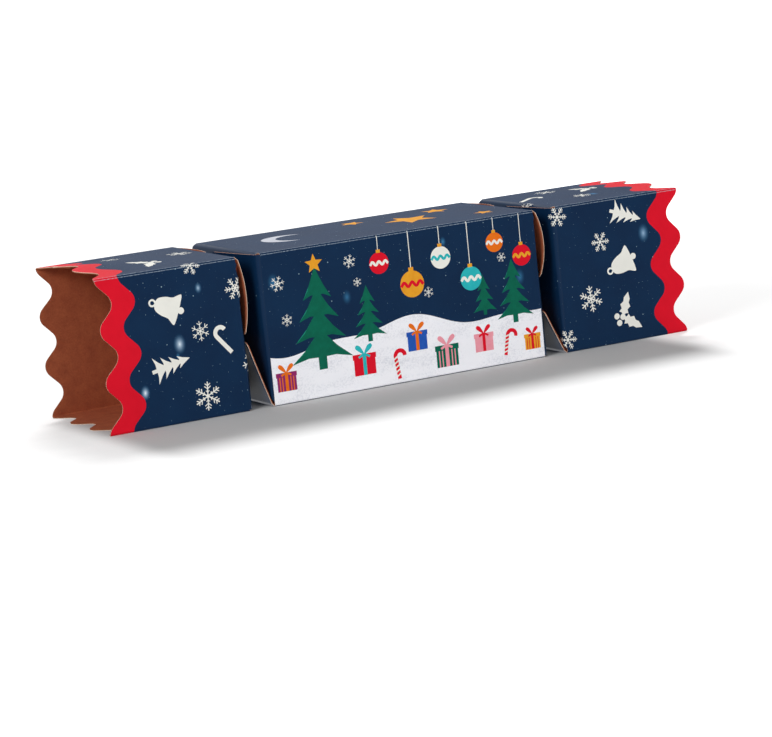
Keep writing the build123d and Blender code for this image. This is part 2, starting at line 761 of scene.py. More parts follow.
    def sky(self, tree: Tree, sheet: Socket, colour: Node) -> Node:
        """A night sky: soft glows and fine printed stars over the ground colour.

        Args:
            tree: The material's node tree.
            sheet: The place on the flat sheet.
            colour: The ground colour.

        Returns:
            The node that gives the sky's colour.
        """
        for glow in self.GLOWS:
            off = add_node(tree, "VectorMath", {0: sheet, 1: (glow.x, glow.v, 0)}, operation="SUBTRACT")
            squeeze = (1, 1 / self.GLOW_STRETCH, 0)
            off = add_node(tree, "VectorMath", {0: off, 1: squeeze}, operation="MULTIPLY")
            far = add_node(tree, "VectorMath", {0: off}, operation="LENGTH")
            close = add_node(tree, "MapRange", {"Value": far, "From Min": glow.radius, "From Max": 0.0})
            for fall, strength, light in (
                (self.HALO_FALL, glow.halo, self.HALO_COLOUR),
                (self.CORE_FALL, glow.core, self.CORE_COLOUR),
            ):
                share = add_node(tree, "Math", {0: close, 1: fall}, operation="POWER")
                share = add_node(tree, "Math", {0: share, 1: strength}, operation="MULTIPLY")
                lights = {0: share, COLOUR_A: colour, COLOUR_B: linear(light)}
                colour = add_node(tree, "Mix", lights, data_type="RGBA")
        for spacing, radius, brightness in self.STARS:
            cell = add_node(
                tree, "TexVoronoi", {"Vector": sheet, "Scale": 1 / spacing}, voronoi_dimensions="2D"
            )
            draw = add_node(tree, "SeparateColor", {0: cell.outputs["Color"]})
            size = add_node(tree, "Math", {0: draw, 1: self.STAR_RARITY}, operation="POWER")
            reach = add_node(tree, "Math", {0: size, 1: radius / spacing}, operation="MULTIPLY")
            star_light = {"Value": cell, "From Min": reach, "From Max": 0.0, "To Max": brightness}
            share = add_node(tree, "MapRange", star_light)
            lights = {0: share, COLOUR_A: colour, COLOUR_B: linear(self.STAR_COLOUR)}
            colour = add_node(tree, "Mix", lights, data_type="RGBA")
        return colour

    def grained(self, tree: Tree, sheet: Socket, colour: Node) -> Node:
        """Printed grey grain, long drifts with fine dots in them.

        Args:
            tree: The material's node tree.
            sheet: The place on the flat sheet.
            colour: The ground colour.

        Returns:
            The node that gives the grained colour.
        """
        length, width = self.DRIFT
        drawn = add_node(tree, "VectorMath", {0: sheet, 1: (1 / length, 1 / width, 1)}, operation="MULTIPLY")
        drift = add_node(tree, "TexNoise", {"Vector": drawn, "Scale": 1.0, "Detail": 3.0})
        dots = add_node(tree, "TexNoise", {"Vector": sheet, "Scale": 1 / self.DOT, "Detail": 3.0})
        both = add_node(tree, "Math", {0: drift, 1: dots}, operation="MULTIPLY")
        start, end = self.GRAIN_RANGE
        grain = {"Value": both, "From Min": start, "From Max": end, "To Max": self.GRAIN}
        share = add_node(tree, "MapRange", grain)
        inks = {0: share, COLOUR_A: colour, COLOUR_B: linear(self.grey_grain)}
        return add_node(tree, "Mix", inks, data_type="RGBA")


@dataclass(frozen=True)
class KraftFinish:
    """Uncoated kraft board, the carton's inside.

    Pressed from long brown fibres and left bare, it is matt, with a cloudy tone and darker flecks.
    """

    name: str = "uncoated_kraft_board"
    colour: str = "#B86441"
    deep: str = "#9C4F35"
    fleck: str = "#5E2C1A"
    roughness: float = 0.88
    fibre: float = 0.8  # kraft fibres are about 0.03 mm wide; drawn this coarse so that they show
    cloud: float = 6.0

    SHEEN = 0.2
    FIBRE_SHARE = 0.45  # of the tone; the clouds give the rest
    TONE_RANGE = (0.35, 0.65)  # values of both at which the tone is the deepest and the palest
    FLECKS = 0.5  # how dark a fleck gets
    FLECK_RANGE = (0.66, 0.8)  # values of the fibre pattern at which a fleck starts and is the darkest
    FIBRE_STRENGTH = 0.25
    FIBRE_HEIGHT = 0.0002  # in metres

    def material(self) -> Material:
        """The finish as a node material.

        Returns:
            The new material.
        """
        material = new_material(self.name)
        tree = material.node_tree
        place = add_node(tree, "TexCoord").outputs["Object"]
        cloud, fibre = (
            add_node(
                tree,
                "TexNoise",
                {"Vector": place, "Scale": MM_PER_M / size, "Detail": detail, "Roughness": rough},
            )
            for size, detail, rough in ((self.cloud, 5.0, 0.65), (self.fibre, 3.0, 0.7))
        )
        tones = {0: self.FIBRE_SHARE, NUMBER_A: cloud, NUMBER_B: fibre}
        tone = add_node(tree, "Mix", tones, data_type="FLOAT")
        start, end = self.TONE_RANGE
        tone = add_node(tree, "MapRange", {"Value": tone, "From Min": start, "From Max": end})
        start, end = self.FLECK_RANGE
        flecks = {"Value": fibre, "From Min": start, "From Max": end, "To Max": self.FLECKS}
        flecked = add_node(tree, "MapRange", flecks)
        colour = linear(self.deep)
        for share, shade in ((tone, self.colour), (flecked, self.fleck)):
            shades = {0: share, COLOUR_A: colour, COLOUR_B: linear(shade)}
            colour = add_node(tree, "Mix", shades, data_type="RGBA")
        relief = {"Height": fibre, "Strength": self.FIBRE_STRENGTH, "Distance": self.FIBRE_HEIGHT}
        bump = add_node(tree, "Bump", relief)
        surface = {
            "Base Color": colour,
            "Roughness": self.roughness,
            "Normal": bump,
            "Specular IOR Level": self.SHEEN,
        }
        shader = add_node(tree, "BsdfPrincipled", surface)
        add_node(tree, "OutputMaterial", {"Surface": shader})
        return material


KRAFT = KraftFinish()
# The cut edges of the board's plies: pressed pale fibres under the print, darker pressed kraft behind them
COATED_EDGE = KraftFinish("die_cut_coated_ply", "#F0DCCB", "#DCBBA2", "#B58A70", 0.92, 0.5, 3.0)
KRAFT_EDGE = KraftFinish("die_cut_kraft_ply", "#9C5C3E", "#824930", "#5E2C1A", 0.92, 0.5, 3.0)

INK_FINISHES = (
    PrintFinish(Ink.NAVY, "#0E2F4F", "#0B1F3B", 26.0, starry=True),
    PrintFinish(Ink.RED, "#E2132B", "#D21026"),
    PrintFinish(Ink.WHITE, "#F4F3EA", "#E6E6DF"),
    PrintFinish(Ink.SNOW, "#FAFAFE", "#F3F4FA", grey_grain="#BFC3CF"),
    PrintFinish(Ink.PINE, "#0A6E55", "#06513F", 3.0),
    PrintFinish(Ink.LEAF, "#27A184", "#11806A", 3.0),
    PrintFinish(Ink.GOLD, "#F2B233", "#D9861C", 3.0),
    PrintFinish(Ink.ORANGE, "#F07A1E", "#DF6414", 3.0),
    PrintFinish(Ink.BLUE, "#2A5FC0", "#1D489C", 3.0),
    PrintFinish(Ink.PLUM, "#9C2F6E", "#7D2258", 3.0),
    PrintFinish(Ink.TEAL, "#35C3C7", "#1FA3AA", 3.0),
    PrintFinish(Ink.PINK, "#F3A9B4", "#E58796", 3.0),
    PrintFinish(Ink.MOON, "#DADCE4", "#B5B9C6", 4.0),
)


@dataclass
class Palette:
    """The materials of the carton, made once."""

    inks: dict[Ink, Material]
    kraft: Material
    kraft_edge: Material
    coated_edge: Material

    @classmethod
    def mixed(cls) -> "Palette":
        """Every finish made into a material."""
        boards = (finish.material() for finish in (KRAFT, KRAFT_EDGE, COATED_EDGE))
        return cls({finish.ink: finish.material() for finish in INK_FINISHES}, *boards)


# Board pieces


@dataclass
class BoardPiece:
    """A piece cut from the printed sheet and folded into place, printed outside and kraft inside.

    A subclass says how it is cut and how the sheet lies in space.
    """

    node: str
    artwork: Artwork

    COATED_PLY = 0.2  # the pale ply under the print; the rest of the board is kraft
    # Third part of the sheet's place: 1 where pale lines of cracked ink and painted highlight run along the
    # tube's creases and hands rub the varnish
    CREASED = 1.0
    GRID = 6.0  # spacing of the points that let the board bow
    STEP = 0.02  # step that the sheet's slope is measured with
    WELD = 0.001  # points of the print that are nearer than this become one
    TRIANGLES_INSIDE = 1  # what the sheet is cut into: triangles inside its outlines

    def outline(self) -> Points:
        """The cut outline on the flat sheet."""
        raise NotImplementedError

    def place(self, sheet: Points) -> Points:
        """Where points of the flat sheet's printed face lie in space."""
        raise NotImplementedError

    def fold_lines(self) -> list[tuple[Points, Points]]:
        """Lines on the sheet that the mesh must follow, as pairs of ends."""
        return []

    def facing(self, sheet: Points) -> Points:
        """Which way the printed face looks.

        Args:
            sheet: Points on the flat sheet.

        Returns:
            The unit normal at each of them.
        """
        along, across = np.array([self.STEP, 0.0]), np.array([0.0, self.STEP])
        run = self.place(sheet + along) - self.place(sheet - along)
        rise = self.place(sheet + across) - self.place(sheet - across)
        normal = np.cross(run, rise)
        return normal / np.linalg.norm(normal, axis=1)[:, None]

    def printed_mesh(self) -> tuple[Points, Points, list[Ink]]:
        """The flat sheet cut into triangles along the edges of its print.

        Returns:
            The sheet's points, its triangles and the ink of each.
        """
        outline = anticlockwise(self.outline())
        shapes = self.artwork.near(outline)
        low, high = outline.min(0), outline.max(0)
        steps = np.maximum(((high - low) / self.GRID).astype(int), 1)
        columns, rows = (np.linspace(low[i], high[i], steps[i] + 1)[1:-1] for i in (0, 1))
        grid = np.stack(np.meshgrid(columns, rows), -1).reshape(-1, 2)
        lines = np.array(self.fold_lines(), float).reshape(-1, 2)
        rings = [outline, *(shape for _, shape in shapes)]
        points = np.concatenate([*rings, lines, grid])
        starts = np.cumsum([0, *(len(ring) for ring in rings)])
        faces = [list(range(a, b)) for a, b in zip(starts, starts[1:])]
        edges = [(starts[-1] + i, starts[-1] + i + 1) for i in range(0, len(lines), 2)]
        corners, _, triangles, _, _, origins = delaunay_2d_cdt(
            [Vector(point) for point in points], edges, faces, self.TRIANGLES_INSIDE, self.WELD
        )
        inks = [Ink.NAVY, *(ink for ink, _ in shapes)]
        kept = [(t, inks[max(origin)]) for t, origin in zip(triangles, origins) if 0 in origin]
        used, triangles = np.unique([t for t, _ in kept], return_inverse=True)
        flat = np.array([corners[i][:] for i in used])
        return flat, triangles.reshape(-1, 3), [ink for _, ink in kept]

    def build(self, palette: Palette) -> Object:
        """Make the closed mesh: printed face, kraft face and the cut edge between them.

        Args:
            palette: The carton's materials.

        Returns:
            The new object.
        """
        # The printed face, the kraft face behind it, and a rim of two plies between them
        flat, triangles, inks = self.printed_mesh()
        count = len(flat)
        outer, normal = self.place(flat), self.facing(flat)
        inner = outer - normal * CARTON.board
        edges = {(a, b) for t in triangles for a, b in zip(t, np.roll(t, -1))}
        rim = [(a, b) for a, b in sorted(edges) if (b, a) not in edges]
        on_rim = sorted({a for a, _ in rim})
        ply = outer[on_rim] - normal[on_rim] * self.COATED_PLY
        at_ply = {a: 2 * count + i for i, a in enumerate(on_rim)}
        coated = [(b, a, at_ply[a], at_ply[b]) for a, b in rim]
        brown = [(at_ply[b], at_ply[a], a + count, b + count) for a, b in rim]
        backs = triangles[:, ::-1]
        faces = [*triangles.tolist(), *(backs + count).tolist(), *brown, *coated]

        # One material for each ink that shows, then those of the board
        used = sorted(set(inks), key=lambda ink: ink.value)
        mesh = bpy.data.meshes.new(f"board_{self.node}")
        mesh.from_pydata((np.concatenate([outer, inner, ply]) / MM_PER_M).tolist(), [], faces)
        boards = (palette.kraft, palette.kraft_edge, palette.coated_edge)
        for material in (*(palette.inks[ink] for ink in used), *boards):
            mesh.materials.append(material)
        slots = [used.index(ink) for ink in inks]
        for i, faces_of_board in enumerate((inks, brown, coated)):
            slots += [len(used) + i] * len(faces_of_board)
        mesh.polygons.foreach_set("material_index", slots)
        mesh.polygons.foreach_set("use_smooth", [True] * len(faces))

        # The place on the flat sheet, which the print's finish reads, and the bent board's own normals
        sheet = np.concatenate([flat, flat, flat[on_rim]])
        sheet = np.column_stack([sheet, np.full(len(sheet), self.CREASED)])
        mesh.attributes.new("sheet", "FLOAT_VECTOR", "POINT").data.foreach_set("vector", sheet.ravel())
        cut = np.array([p.normal for p in mesh.polygons[2 * len(inks) :]])
        normals = [normal[triangles].reshape(-1, 3), -normal[backs].reshape(-1, 3), np.repeat(cut, 4, 0)]
        mesh.normals_split_custom_set(np.concatenate(normals).tolist())
        piece = bpy.data.objects.new(f"board_{self.node}", mesh)
        bpy.context.scene.collection.objects.link(piece)
        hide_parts(self.node)
        log.info("%s: %d triangles of print", piece.name, len(inks))
        return piece


@dataclass
class Panel(BoardPiece):
    """One side of a tube, with its creases rounded, its board a little bowed and its open end flared."""

    side: Side
    start: float
    end: float
    bow: float
    flare: float

    SCALLOP_STEPS = 96
    CREASE_STEPS = 4

    def outline(self) -> Points:
        """The cut outline: straight at a crease, scalloped at an open end.

        Returns:
            The closed outline on the flat sheet.
        """
        v = np.linspace(self.side.start, self.side.start + CARTON.side, self.SCALLOP_STEPS + 1)
        ends = []
        for x in (self.start, self.end):
            if abs(x) == CARTON.crest:
                ends.append(np.column_stack([x - np.sign(x) * CARTON.scallop(v), v]))
            else:
                ends.append(np.array([(x, v[0]), (x, v[-1])]))
        return np.concatenate([ends[0][::-1], ends[1]])

    def fold_lines(self) -> list[tuple[Points, Points]]:
        """Lines along the rounding of the panel's two creases.

        Returns:
            The ends of each line.
        """
        steps = CARTON.corner_radius * np.arange(1, self.CREASE_STEPS + 1) / self.CREASE_STEPS
        low, high = self.side.start, self.side.start + CARTON.side
        levels = [*(low + steps), *(high - steps)]
        return [(np.array([self.start, v]), np.array([self.end, v])) for v in levels]

    def place(self, sheet: Points) -> Points:
        """Where points of the sheet lie on the rounded tube.

        Args:
            sheet: Points on the flat sheet.

        Returns:
            Their places in space.
        """
        x, v = sheet.T
        round_sides = len(Side) * CARTON.side
        side = ((v % round_sides) // CARTON.side).astype(int)
        off = v % CARTON.side - CARTON.side / 2
        radius = CARTON.corner_radius
        straight = CARTON.side / 2 - radius
        angle = np.maximum(np.abs(off) - straight, 0) / radius * math.pi / 4
        across = np.sign(off) * (np.minimum(np.abs(off), straight) + radius * np.sin(angle))
        swell = np.cos(np.clip(off / CARTON.side, -0.5, 0.5) * math.pi) ** 2 * self.swell(x)
        out = CARTON.side / 2 - radius * (1 - np.cos(angle)) + swell
        middle = np.column_stack([x, np.zeros_like(x), np.full_like(x, CARTON.side / 2)])
        return middle + out[:, None] * OUTWARD[side] + across[:, None] * ALONG[side]

    def swell(self, x: Points) -> Points:
        """How far the middle of the board stands out.

        Args:
            x: Places along the panel.

        Returns:
            The bow between its ends, which a crease holds straight, and the flare of an open end.
        """
        span = (x - self.start) / (self.end - self.start)
        out = self.bow * np.sin(np.clip(span, 0, 1) * math.pi)
        for end, near in ((self.start, 1 - span), (self.end, span)):
            if abs(end) == CARTON.crest:
                out = out + self.flare * near**2
        return out


@dataclass(frozen=True)
class FoldShape:
    """How a flap runs from its crease, at some places across it from its head side to its tail.

    bend is the length of the soft bend after the crease, fold the angle after it, and curl what the rest adds
    up to the full length. head_length is how far the flap reaches at its head side.
    """

    places: tuple[float, ...]
    bend: tuple[float, ...]
    fold: tuple[float, ...]
    curl: tuple[float, ...]
    head_length: float

    SPANS = 48
    FULL_LENGTH = 40.0

    def run(self, length: Points, across: Points) -> tuple[Points, Points]:
        """Where points of a flap lie off its crease.

        Args:
            length: How far along the flap they are.
            across: How far from its head side they are.

        Returns:
            Their reach across the neck and their depth into the tube.
        """
        parts = (self.bend, self.fold, self.curl)
        bend, fold, curl = (np.interp(across, self.places, part)[:, None] for part in parts)
        step = np.maximum(length, 0)[:, None] / self.SPANS
        at = (np.arange(self.SPANS) + 0.5) * step
        past_bend = np.clip((at - bend) / (self.FULL_LENGTH - bend), 0, 1)
        angle = np.radians(fold * np.sin(np.minimum(at / bend, 1) * math.pi / 2) + curl * past_bend)
        reach = (np.cos(angle) * step).sum(1) + np.minimum(length, 0)
        return reach, (np.sin(angle) * step).sum(1)


# The flaps left of a neck bow out where they are free, those right of it bend softly, and the lowest lies
# straight. Each lies on its neighbour's tail: it stands out further at its head than at its tail.
SOFT = FoldShape((2, 30, 58), (4.5, 4, 2.5), (79, 83, 85), (4, 3, 2), 37)
STRAIGHT = FoldShape((2, 30, 58), (2.2, 3, 2.5), (71.5, 81.5, 85.5), (2, 3, 2), 33)
LEANING = FoldShape((2, 30, 58), (2.2, 3, 2.5), (65, 81, 85.5), (2, 4, 2), 24.3)
BOWED = FoldShape((1, 8, 26, 44), (3, 3, 3, 2.5), (74, 78, 81.5, 87.5), (35, 18, 8, 3), 37)
BOWED_MORE = FoldShape((1, 8, 26, 44), (3, 3, 3, 2.5), (67, 76, 81.5, 87.5), (57, 20, 8, 3), 34)


@dataclass
class NeckFlap(BoardPiece):
    """One flap of a neck, folded inwards from its crease and overlapping its neighbours as a pinwheel."""

    side: Side
    crease: float
    reach: int
    shape: FoldShape

    CREASED = 0.0
    HEAD_RELIEF = 0.6
    TAIL_RELIEF = 2.0
    TIP_LENGTH = 31.0
    TAIL_CUT = 3.0  # how much steeper than 45 degrees the tail is cut, over the tip's length
    LONG_TO = 14.0  # how far across its long head part goes
    LONG_SLANT = 0.5  # how much shorter the flap is there
    CORNER_RADII = (0, 2, 6, 3, 0)
    GRID = 2.5

    @property
    def head(self) -> float:
        """Where the head corner of its crease lies round the tube."""
        return self.side.start + (0 if self.reach > 0 else CARTON.side)

    def sheet_of(self, run: Points) -> Points:
        """Points on the sheet, from their length along the flap and their distance from its head corner."""
        return np.column_stack([self.crease + self.reach * run[:, 0], self.head + self.reach * run[:, 1]])

    def outline(self) -> Points:
        """The cut outline: square at its head, longest there, and slanted at its tail.

        Returns:
            The closed outline on the flat sheet.
        """
        tail = CARTON.side - self.TAIL_RELIEF
        length = self.shape.head_length
        corners = [
            (0, self.HEAD_RELIEF),
            (length, self.HEAD_RELIEF),
            (length - self.LONG_SLANT, self.LONG_TO),
            (self.TIP_LENGTH, tail - self.TIP_LENGTH - self.TAIL_CUT),
            (0, tail),
        ]
        return self.sheet_of(divided(rounded(corners, self.CORNER_RADII), self.GRID))

    def place(self, sheet: Points) -> Points:
        """Where points of the sheet lie on the folded flap.

        Args:
            sheet: Points on the flat sheet.

        Returns:
            Their places in space.
        """
        across = self.reach * (sheet[:, 1] - self.head)
        reach, depth = self.shape.run(self.reach * (sheet[:, 0] - self.crease), across)
        index = self.side.value[0]
        off = sheet[:, 1] - self.side.start - CARTON.side / 2
        middle = np.array([self.crease, 0, CARTON.side / 2])
        x = np.outer(self.reach * reach, (1, 0, 0))
        return middle + x + np.outer(CARTON.side / 2 - depth, OUTWARD[index]) + np.outer(off, ALONG[index])


@dataclass
class Tube:
    """One square section of the cracker: four panels round it and the glue flap of its seam."""

    body: str
    slot: str
    start: float
    end: float
    artwork: Artwork
    flares: dict[Side, float] = field(default_factory=dict)

    # How far the middle of each side's board stands out; the bottom's gives way to what it stands on
    BOWS = {Side.FRONT: 0.35, Side.TOP: 0.25, Side.BACK: 0.3, Side.BOTTOM: -0.15}

    def build(self, palette: Palette) -> list[Object]:
        """Make the four panels.

        Args:
            palette: The carton's materials.

        Returns:
            The new objects.
        """
        pieces = []
        for side in Side:
            node = f"{self.body}_{side.word}_panel"
            bow, flare = self.BOWS[side], self.flares.get(side, 0.0)
            panel = Panel(node, self.artwork, side, self.start, self.end, bow, flare)
            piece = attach(panel.build(palette), self.body)
            pieces.append(piece)
        return pieces

    def dress(self, palette: Palette) -> None:
        """Give the seam's glue flap its kraft board.

        Args:
            palette: The carton's materials.
        """
        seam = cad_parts[f"{self.body}_glue_flap"]
        seam.data.materials.clear()
        seam.data.materials.append(palette.kraft)
        log.info("%s: bare kraft", seam.name)


@dataclass
class Neck:
    """One drawn-in neck: four flaps on the centre and four on the end, all folded in."""

    name: str
    hand: int
    centre_art: Artwork
    end_art: Artwork
    bowed: FoldShape
    lowest: FoldShape
    soft: FoldShape = SOFT
    slot: str = "neck_print"
    bend_zone: float = 6.0

    def build(self, palette: Palette) -> list[Object]:
        """Make the eight flaps, each folded in from its crease.

        Args:
            palette: The carton's materials.

        Returns:
            The new objects.
        """
        pieces = []
        for on, crease, body, art in (
            ("centre", CARTON.centre_end, "centre", self.centre_art),
            ("end", CARTON.end_start, f"{self.name}_end", self.end_art),
        ):
            reach = self.hand if on == "centre" else -self.hand
            for side in Side:
                node = f"{self.name}_neck_{on}_{side.word}_flap"
                right_shape = self.lowest if side is Side.BOTTOM else self.soft
                shape = self.bowed if reach > 0 else right_shape
                flap = NeckFlap(node, art, side, self.hand * crease, reach, shape)
                piece = flap.build(palette)
                bend = [(length, CARTON.side / 2) for length in (0.0, self.bend_zone)]
                start, end = flap.place(flap.sheet_of(np.array(bend))) / MM_PER_M
                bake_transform(piece)
                pieces.append(piece)
        return pieces


# The print


Spot = tuple[float, float, float]  # where a motif lies on the sheet, and its size
TurnedSpot = tuple[float, float, float, float]  # the same, and how far it is turned


class Figure(Enum):
    """A white figure on the ends."""

    BELL = "bell"
    FIR = "fir"
    CANE = "cane"
    SPRIG = "sprig"


@dataclass(frozen=True)
class EndPrint:
    """The print of one end: white flakes and figures on a night sky, and the red band along its scallops."""

    hand: int
    flakes: tuple[tuple[float, float, float, FlakeStyle], ...]
    figures: tuple[tuple[Figure, float, float, float, float], ...]
    band: float = 11.2
    past_edge: float = 2.0
    wave_step: float = 0.6
    flake_turn: float = 11.0  # degrees that a flake is turned for each millimetre of its place

    def artwork(self) -> Artwork:
        """Lay out the print.

        Returns:
            The end's artwork, band last.
        """
        art = Artwork()
        white = Ink.WHITE
        motifs = {
            Figure.BELL: bell(white),
            Figure.FIR: fir(white, white),
            Figure.CANE: cane(white),
            Figure.SPRIG: sprig(white),
        }
        for x, v, radius, style in self.flakes:
            art.lay(snowflake(style), (self.hand * x, v), radius, self.flake_turn * x)
        for figure, x, v, size, turn in self.figures:
            art.lay(motifs[figure], (self.hand * x, v), size, turn)
        around = len(Side) * CARTON.side
        v = np.arange(-self.wave_step, around + 2 * self.wave_step, self.wave_step)
        wave = np.column_stack([CARTON.crest - self.band - CARTON.scallop(v), v])
        outside = CARTON.crest + self.past_edge
        band = np.concatenate([wave, [(outside, v[-1]), (outside, v[0])]])
        art.lay([(Ink.RED, band * (self.hand, 1))], (0, 0), 1.0)
        return art


@dataclass(frozen=True)
class CentrePrint:
    """The print of the centre: firs and gifts in the snow under hanging baubles, stars on the top."""

    snow_level: float = 26.0
    snow_step: float = 1.5
    # Height, shift and length of the drifts that make the snow's upper edge
    drifts: tuple[tuple[float, float, float], ...] = ((3.6, 30.0, 17.0), (1.6, 7.5, 7.5))
    firs: tuple[Spot, ...] = (
        (-45.0, 13.0, 47.0),
        (-20.0, 22.0, 26.0),
        (41.0, 25.0, 19.0),
        (57.0, 19.0, 30.0),
    )
    tall_fir: float = 25.0  # a fir that is taller than this has four tiers, another one three
    star_radius: float = 4.6
    star_lift: float = 1.5  # from the tallest fir's tip to the middle of its star
    star_waist: float = 0.45
    gifts: tuple[tuple[float, float, float, Ink, Ink, bool], ...] = (
        (-64.0, 6.0, 10.5, Ink.PLUM, Ink.ORANGE, True),
        (-24.0, 7.0, 12.0, Ink.RED, Ink.TEAL, False),
        (4.0, 14.0, 11.0, Ink.BLUE, Ink.ORANGE, False),
        (19.0, 4.0, 12.5, Ink.PINE, Ink.PINK, True),
        (39.0, 8.0, 10.5, Ink.PINK, Ink.RED, False),
        (65.0, 5.0, 9.0, Ink.GOLD, Ink.RED, True),
    )
    canes: tuple[TurnedSpot, ...] = ((-6.0, 9.0, 13.0, 8.0), (52.5, 10.0, 12.0, -10.0))
    baubles: tuple[tuple[float, float, float, Ink, Ink], ...] = (
        (-12.0, 13.0, 5.0, Ink.RED, Ink.WHITE),
        (4.0, 25.0, 6.2, Ink.GOLD, Ink.RED),
        (20.0, 15.0, 5.2, Ink.WHITE, Ink.TEAL),
        (35.0, 27.0, 5.6, Ink.TEAL, Ink.WHITE),
        (49.0, 12.0, 4.6, Ink.ORANGE, Ink.WHITE),
        (63.0, 20.0, 5.0, Ink.RED, Ink.GOLD),
    )
    flakes: tuple[Spot, ...] = (
        (-64.0, 55.0, 3.6),
        (-27.0, 60.0, 3.2),
        (-61.0, 38.0, 2.8),
        (-24.0, 50.0, 2.2),
        (12.0, 40.0, 2.6),
        (52.0, 50.5, 2.4),
    )
    flake_turn: float = 5.0  # degrees that a flake is turned for each millimetre of its place
    moon: TurnedSpot = (-40.0, 106.0, 12.0, -25.0)
    top_stars: tuple[TurnedSpot, ...] = (
        (24.0, 104.0, 13.0, 12.0),
        (47.0, 122.0, 7.0, -20.0),
        (2.0, 122.0, 6.0, 30.0),
        (56.0, 90.0, 5.0, 0.0),
    )
    top_waist: float = 0.46
    under_flakes: tuple[Spot, ...] = (
        (-58.0, 228.0, 5.0),
        (-14.0, 250.0, 6.0),
        (33.0, 232.0, 5.0),
        (58.0, 262.0, 4.5),
    )
    under_turn: float = 7.0

    def landscape(self) -> list[tuple[Motif, tuple[float, float], float, float]]:
        """The front's motifs, upright, from the back of the picture to its front.

        Returns:
            Each motif with its place over the panel's lower edge, its size and its turn.
        """
        edge = CARTON.centre_end
        x = np.arange(-edge, edge + self.snow_step, self.snow_step)
        level = np.full_like(x, self.snow_level)
        for height, shift, length in self.drifts:
            level += height * np.sin((x + shift) / length)
        ground = np.concatenate([np.column_stack([x, level]), [(x[-1], 0), (x[0], 0)]])
        laid = [([(Ink.SNOW, ground)], (0.0, 0.0), 1.0, 0.0)]
        for x, z, height in self.firs:
            tiers = 4 if height > self.tall_fir else 3
            laid.append((fir(Ink.PINE, Ink.LEAF, tiers), (x, z), height, 0.0))
        x, z, height = max(self.firs, key=lambda tree: tree[2])
        tip = (x, z + height + self.star_lift)
        laid.append((star(5, self.star_waist, Ink.GOLD), tip, self.star_radius, 0.0))
        for x, z, size, box, ribbon, striped in self.gifts:
            laid.append((gift(box, ribbon, striped), (x, z), size, 0.0))
        laid += [(cane(Ink.RED, Ink.WHITE), (x, z), size, turn) for x, z, size, turn in self.canes]
        for x, drop, radius, ball, band in self.baubles:
            laid.append((bauble(ball, band, drop / radius), (x, CARTON.side), radius, 0.0))
        for x, z, radius in self.flakes:
            laid.append((snowflake(FlakeStyle.STAR), (x, z), radius, self.flake_turn * x))
        return laid

    def artwork(self) -> Artwork:
        """Lay out the print: the landscape upright on the front and on the back, stars and a moon on the top.

        Returns:
            The centre's artwork.
        """
        art = Artwork()
        back_foot = Side.BACK.start + CARTON.side
        for motif, (x, z), size, turn in self.landscape():
            art.lay(motif, (x, z), size, turn)
            art.lay(motif, (-x, back_foot - z), size, turn + 180)
        x, v, radius, turn = self.moon
        art.lay(crescent(Ink.MOON), (x, v), radius, turn)
        for x, v, radius, turn in self.top_stars:
            art.lay(star(5, self.top_waist, Ink.GOLD), (x, v), radius, turn)
        for x, v, radius in self.under_flakes:
            art.lay(snowflake(FlakeStyle.BRANCH), (x, v), radius, self.under_turn * x)
        return art


LEFT_END = EndPrint(
    -1,
    (
        (103.9, 39.8, 4.5, FlakeStyle.STAR),
        (103.4, 10.3, 6.5, FlakeStyle.FERN),
        (84.8, 56.3, 5.2, FlakeStyle.BRANCH),
        (79.8, 21.7, 5.2, FlakeStyle.STAR),
        (105.3, 69.7, 4.6, FlakeStyle.FERN),
        (92.8, 110.3, 6.0, FlakeStyle.BRANCH),
        (122.0, 122.0, 4.8, FlakeStyle.STAR),
        (98.0, 156.0, 5.0, FlakeStyle.FERN),
        (118.0, 188.0, 6.0, FlakeStyle.BRANCH),
        (92.0, 198.0, 4.4, FlakeStyle.STAR),
        (104.0, 232.0, 5.4, FlakeStyle.FERN),
        (90.0, 262.0, 4.8, FlakeStyle.BRANCH),
    ),
    (
        (Figure.BELL, 119.0, 53.0, 17.0, 68.0),
        (Figure.FIR, 129.0, 25.0, 19.0, -78.0),
        (Figure.CANE, 92.5, 34.0, 13.0, 40.0),
        (Figure.SPRIG, 116.0, 92.0, 15.0, 100.0),
        (Figure.FIR, 116.0, 160.0, 19.0, 70.0),
        (Figure.BELL, 98.0, 178.0, 16.0, -30.0),
        (Figure.CANE, 122.0, 238.0, 16.0, 60.0),
        (Figure.SPRIG, 114.0, 262.0, 15.0, 20.0),
    ),
)
RIGHT_END = EndPrint(
    1,
    (
        (84.0, 65.0, 5.0, FlakeStyle.FERN),
        (106.3, 50.0, 4.9, FlakeStyle.FERN),
        (98.8, 23.7, 6.4, FlakeStyle.BRANCH),
        (84.2, 6.2, 5.0, FlakeStyle.FERN),
        (110.8, 125.2, 5.6, FlakeStyle.STAR),
        (112.3, 92.8, 4.6, FlakeStyle.BRANCH),
        (80.5, 94.2, 4.8, FlakeStyle.STAR),
        (100.0, 160.0, 5.2, FlakeStyle.STAR),
        (120.0, 182.0, 5.8, FlakeStyle.FERN),
        (92.0, 196.0, 4.6, FlakeStyle.BRANCH),
        (108.0, 228.0, 5.4, FlakeStyle.STAR),
        (94.0, 258.0, 4.8, FlakeStyle.FERN),
    ),
    (
        (Figure.FIR, 113.0, 64.0, 18.0, -110.0),
        (Figure.BELL, 117.0, 38.0, 17.0, 112.0),
        (Figure.SPRIG, 117.0, 13.0, 15.0, -70.0),
        (Figure.CANE, 92.0, 108.0, 15.0, -50.0),
        (Figure.SPRIG, 126.0, 112.0, 14.0, 80.0),
        (Figure.BELL, 118.0, 154.0, 16.0, 30.0),
        (Figure.FIR, 96.0, 176.0, 18.0, 120.0),
        (Figure.CANE, 122.0, 250.0, 16.0, 20.0),
    ),
)


# The studio


